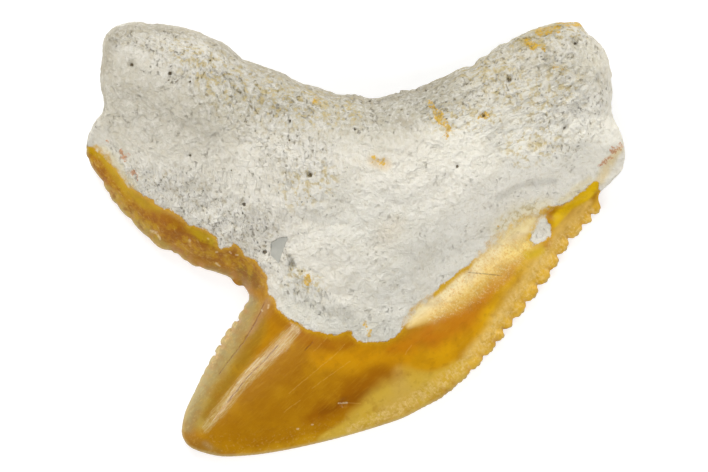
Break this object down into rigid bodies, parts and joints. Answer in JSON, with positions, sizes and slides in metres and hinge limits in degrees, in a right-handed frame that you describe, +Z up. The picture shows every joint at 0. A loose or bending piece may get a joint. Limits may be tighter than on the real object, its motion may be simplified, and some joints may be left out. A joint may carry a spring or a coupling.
{
  "type": "fossil shark tooth",
  "caption": "Fossil tiger shark tooth with a pitted bilobed root and a slanted serrated crown, lying flat as a collector's specimen or a natural history prop.",
  "frame": {"origin": "middle of the bounding box's bottom face, on the surface the tooth lies on", "axes": "+Z up, out of the lingual face; +Y towards the root; +X towards the mesial shoulder; the tip points to -X and -Y"},
  "size_m": [0.028, 0.0226, 0.006],
  "materials": {
    "tooth": "rough mineralised root in warm grey-white, glossy amber enamel on the crown"
  },
  "bodies": {
    "root": {"tooth": "tooth"}
  },
  "joints": []
}
